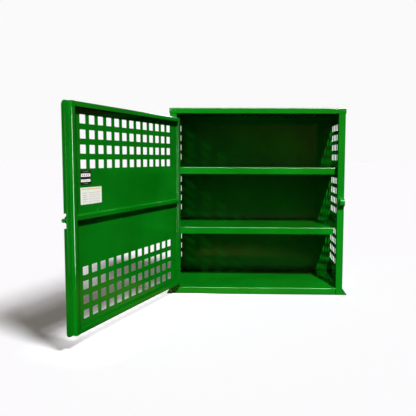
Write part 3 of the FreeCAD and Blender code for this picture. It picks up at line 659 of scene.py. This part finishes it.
def printed_vinyl(name, ground, marks):
    """A sticker with a ground colour and printed blocks: (colour, left, right, bottom, top)."""
    material, tree, shader = new_material(name)
    spot = add(tree, "ShaderNodeUVMap", uv_map="print").outputs[0]
    across = add(tree, "ShaderNodeSeparateXYZ", {0: spot})
    grain = add(tree, "ShaderNodeTexNoise", {"Vector": spot, "Scale": 9.0, "Detail": 3.0})
    tint = add(tree, "ShaderNodeMix", {0: grain.outputs[0], 6: linear(ground[0]), 7: linear(ground[1])},
               data_type="RGBA")
    colour = tint.outputs[2]
    for ink, left, right, bottom, top in marks:
        inside = add(tree, "ShaderNodeMath", {
            0: band(tree, across.outputs[0], left, right), 1: band(tree, across.outputs[1], bottom, top),
        }, operation="MULTIPLY")
        colour = add(tree, "ShaderNodeMix", {0: inside.outputs[0], 6: colour, 7: linear(ink)},
                     data_type="RGBA").outputs[2]
    tree.links.new(colour, shader.inputs["Base Color"])
    dull = add(tree, "ShaderNodeMapRange", {0: grain.outputs[0], 1: 0.3, 2: 0.7, 3: 0.3, 4: 0.42})
    tree.links.new(dull.outputs[0], shader.inputs["Roughness"])
    shader.inputs["IOR"].default_value = 1.53
    return material


WHITE, BLACK, GREY, YELLOW = "#fbfbf6", "#0a0a0c", "#9a9a94", "#e0d98a"
warning_marks = [(WHITE, 0.06, 0.94, 0.56, 0.78), (WHITE, 0.06, 0.94, 0.2, 0.38)]
warning_marks += [(BLACK, 0.16 + 0.18 * i, 0.26 + 0.18 * i, 0.64, 0.7) for i in range(4)]
warning_marks += [
    (GREY, 0.14, 0.86, 0.27, 0.3), (GREY, 0.25, 0.75, 0.88, 0.91), (GREY, 0.32, 0.68, 0.08, 0.11),
]
rating_marks = [(YELLOW, 0.03, 0.97, 0.86, 0.93)]
rating_marks += [(GREY, 0.08, 0.3, 0.66 - 0.13 * i, 0.68 - 0.13 * i) for i in range(5)]
rating_marks += [(GREY, 0.36, 0.92, 0.66 - 0.13 * i, 0.675 - 0.13 * i) for i in range(5)]
vinyl = {
    "warning_label": printed_vinyl("printed_vinyl_black", (BLACK, "#17171a"), warning_marks),
    "rating_label": printed_vinyl("printed_vinyl_white", (WHITE, "#f1f1ea"), rating_marks),
}


def sticker(node):
    low, high = shut_box(node)
    size = high - low
    corner = 1.5 * MM
    outline = rounded_outline([
        (0, 0, corner), (size.x, 0, corner), (size.x, size.z, corner), (0, size.z, corner),
    ])
    piece = blank(f"{node}_vinyl", outline, size.y)
    piece.data.materials.clear()
    piece.data.materials.append(vinyl[node])
    layer = piece.data.uv_layers.new(name="print")
    for loop in piece.data.loops:
        spot = piece.data.vertices[loop.vertex_index].co
        # One reads the sticker from inside the door, where left and right change places.
        layer.data[loop.index].uv = (1 - spot.x / size.x, spot.y / size.z)
    stand(piece, (1, 0, 0), (0, -1, 0), (low.x, high.y, low.z), door=True)
    round_arrises(piece, 0.06 * MM, steps=1)
    return settle(piece, "door", subparts[node], node)


for node in vinyl:
    sticker(node)
print("stickers:", list(vinyl))

# %% [markdown]
# ## Floor, light and camera
# The cabinet stands on pale paper. A key light high in front, a little to the right, lights the
# trays and throws the side holes onto the back. A weak one far to the right fills the door, one
# on the left comes through the left holes, and one is for the back. The paper has a light of its
# own, so its soft shadow can lie where a large lamp would lay it, and light linking keeps the two
# sets apart. Lights far away have one direction everywhere, so they are suns here, with the
# angle that a soft box has from where the cabinet stands. Two tubes that show only in the gloss
# draw the bright lines along the folds, one of them on the door's frame alone. The camera sees
# a pale backdrop, and the enamel mirrors a dim warm room. These are stage tricks that one could
# not set up with real lamps, and none of them is part of the cabinet.

# %% Floor
floor_work = bmesh.new()
bmesh.ops.create_grid(floor_work, x_segments=1, y_segments=1, size=60)
floor_mesh = bpy.data.meshes.new("floor")
floor_work.to_mesh(floor_mesh)
floor_work.free()
paper, paper_tree, paper_shader = new_material("pale_paper")
paper_shader.inputs["Base Color"].default_value = linear("#e5e5e9")
paper_shader.inputs["Roughness"].default_value = 0.95
paper_shader.inputs["Specular IOR Level"].default_value = 0.0
paper_shader.inputs["Emission Color"].default_value = (0.97, 0.97, 1, 1)
# The paper glows a little along the foot of the open door. No real lamp does this: it hides the
# shadow that the single paper light would lay under the door's lower edge.
outward = (math.sin(opened), math.cos(opened), 0)
ground = add(paper_tree, "ShaderNodeTexCoord").outputs["Object"]
from_pin = add(
    paper_tree, "ShaderNodeVectorMath", {0: ground, 1: Vector(hinge["pos_m"])}, operation="SUBTRACT"
)
ahead = add(
    paper_tree, "ShaderNodeVectorMath", {0: from_pin.outputs[0], 1: outward}, operation="DOT_PRODUCT"
)
aside = add(paper_tree, "ShaderNodeMath", {0: ahead.outputs["Value"]}, operation="ABSOLUTE")
close = add(paper_tree, "ShaderNodeMapRange", {0: aside.outputs[0], 1: 0.04, 2: 0.16, 3: 0.7, 4: 0.0},
            interpolation_type="SMOOTHSTEP")
reached = add(paper_tree, "ShaderNodeVectorMath", {0: from_pin.outputs[0]}, operation="LENGTH")
within = add(
    paper_tree,
    "ShaderNodeMapRange",
    {0: reached.outputs["Value"], 1: 0.4, 2: 0.65, 3: 1.0, 4: 0.0},
    interpolation_type="SMOOTHSTEP",
)
painted_glow = add(paper_tree, "ShaderNodeMath", {0: close.outputs[0], 1: within.outputs[0], 2: 0.13},
             operation="MULTIPLY_ADD")
paper_tree.links.new(painted_glow.outputs[0], paper_shader.inputs["Emission Strength"])
# The camera and the enamel do not see the same floor. Only the camera sees the pale paper. What
# the enamel mirrors is dark, with a painted pool of olive light in front of the sill that falls off
# by 0.4 m; it paints a warm reflection on the sill and the lower part of the door.
about = add(paper_tree, "ShaderNodeTexCoord").outputs["Object"]
reach = add(paper_tree, "ShaderNodeVectorMath", {0: about, 1: (-0.1, -0.24, 0)}, operation="DISTANCE")
fall = add(paper_tree, "ShaderNodeMapRange", {0: reach.outputs["Value"], 1: 0.1, 2: 0.38, 3: 0.0, 4: 1.0})
# A painted pool of light, seen only in reflections: olive near the sill, dark further out.
painted_reflection_pool = add(paper_tree, "ShaderNodeMix", {
    0: fall.outputs[0], 6: linear("#7a7638"), 7: linear("#1c1a10"),
}, data_type="RGBA")
bare = add(paper_tree, "ShaderNodeBsdfDiffuse", {"Color": painted_reflection_pool.outputs[2]})
looked_at = add(paper_tree, "ShaderNodeLightPath").outputs["Is Camera Ray"]
both = add(paper_tree, "ShaderNodeMixShader", {0: looked_at, 1: bare.outputs[0], 2: paper_shader.outputs[0]})
paper_tree.links.new(both.outputs[0], paper_tree.nodes["Material Output"].inputs["Surface"])
floor = put_in_scene("floor", floor_mesh, paper)
floor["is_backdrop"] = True
print("the floor is", floor.dimensions.x, "m across")


# %% Lights
def sun(name, towards, strength, spread, lights_only=None):
    """A far light. towards points from the cabinet to it, and spread is its width in degrees."""
    data = bpy.data.lights.new(name, "SUN")
    data.energy = strength
    data.angle = math.radians(spread)
    light = bpy.data.objects.new(name, data)
    light.rotation_euler = (-Vector(towards)).to_track_quat("-Z", "Y").to_euler()
    bpy.context.scene.collection.objects.link(light)
    if lights_only:
        light.light_linking.receiver_collection = lights_only
    return light


on_cabinet = bpy.data.collections.new("lit_cabinet")
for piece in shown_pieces():
    on_cabinet.objects.link(piece)
on_paper = bpy.data.collections.new("lit_paper")
on_paper.objects.link(floor)
sun("key", (0.20, -0.70, 0.69), 6.3, 1.2, on_cabinet)
sun("left_fill", (-0.8, -0.45, 0.55), 0.9, 1.5, on_cabinet)
sun("back_fill", (0.35, 0.8, 0.45), 1.8, 10, on_cabinet)
sun("right_fill", (0.9, -0.1, 0.5), 0.06, 14, on_cabinet)
sun("paper_light", (0.8, -0.6, 1.22), 4.15, 14, on_paper)


def strip_light(name, middle, aim, size, strength, lights_only):
    """A tube that shows only in the gloss of the pieces that it is linked to."""
    data = bpy.data.lights.new(name, "AREA")
    data.shape = "RECTANGLE"
    data.size, data.size_y = size
    data.energy = strength
    light = bpy.data.objects.new(name, data)
    light.location = middle
    light.rotation_euler = (Vector(aim) - Vector(middle)).to_track_quat("-Z", "Y").to_euler()
    light.visible_diffuse = False
    light.visible_camera = False
    light.light_linking.receiver_collection = lights_only
    bpy.context.scene.collection.objects.link(light)
    return light


on_frame = bpy.data.collections.new("lit_door_frame")
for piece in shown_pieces():
    if piece.name.startswith(("door_stile", "door_rail")):
        on_frame.objects.link(piece)
strip_light("tube_right", (0.1, -1.18, 0.34), (-0.467, -0.615, 0.34), (0.34, 0.62), 22, on_frame)
strip_light("tube_above", (0.0, -2.3, 2.1), (0.0, 0.0, 0.35), (3.4, 0.5), 240, on_cabinet)

room = bpy.data.worlds.new("studio")
room.use_nodes = True
bpy.context.scene.world = room
room_tree = room.node_tree
room_tree.nodes.clear()
seen = add(room_tree, "ShaderNodeLightPath").outputs["Is Camera Ray"]
about = add(room_tree, "ShaderNodeTexCoord").outputs["Generated"]
clutter = add(room_tree, "ShaderNodeTexNoise", {"Vector": about, "Scale": 2.2, "Detail": 2.0})
spread = add(room_tree, "ShaderNodeMapRange", {0: clutter.outputs[0], 1: 0.42, 2: 0.62, 3: 0.0, 4: 1.0})
dark = add(room_tree, "ShaderNodeMix", {
    0: spread.outputs[0], 6: (0.012, 0.012, 0.01, 1), 7: (0.11, 0.062, 0.014, 1),
}, data_type="RGBA")
dim = add(room_tree, "ShaderNodeBackground", {"Color": dark.outputs[2], "Strength": 1.0})
pale = add(room_tree, "ShaderNodeBackground", {"Color": linear("#fafafa"), "Strength": 1.0})
mixed = add(room_tree, "ShaderNodeMixShader", {0: seen, 1: dim.outputs[0], 2: pale.outputs[0]})
add(room_tree, "ShaderNodeOutputWorld", {0: mixed.outputs[0]})
bpy.context.scene.view_settings.view_transform = "Standard"
print("five far lights, two tubes and a dim room")

# %% Camera
yaw, pitch, roll = 0.0191, 0.0805, 0.0045
forward = Vector((-math.sin(yaw) * math.cos(pitch), math.cos(yaw) * math.cos(pitch), -math.sin(pitch)))
level = Vector((math.cos(yaw), math.sin(yaw), 0))
upward = level.cross(forward)
right = math.cos(roll) * level + math.sin(roll) * upward
top = math.cos(roll) * upward - math.sin(roll) * level
lens = bpy.data.cameras.new("camera")
lens.sensor_width = 36
lens.lens = 41.82
lens.shift_x = -0.0811
lens.shift_y = -0.0264
camera = bpy.data.objects.new("camera", lens)
stood_at = Matrix.Translation((-0.02107, -1.8028, 0.4767))
camera.matrix_world = stood_at @ Matrix((right, top, -forward)).transposed().to_4x4()
bpy.context.scene.collection.objects.link(camera)
bpy.context.scene.camera = camera
print("the camera is", round((camera.location - Vector((0, 0, 0.32))).length, 2), "m from the cabinet")

# %% The size of what is shown
low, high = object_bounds()
print("visual box", [round(c, 4) for c in low], [round(c, 4) for c in high])
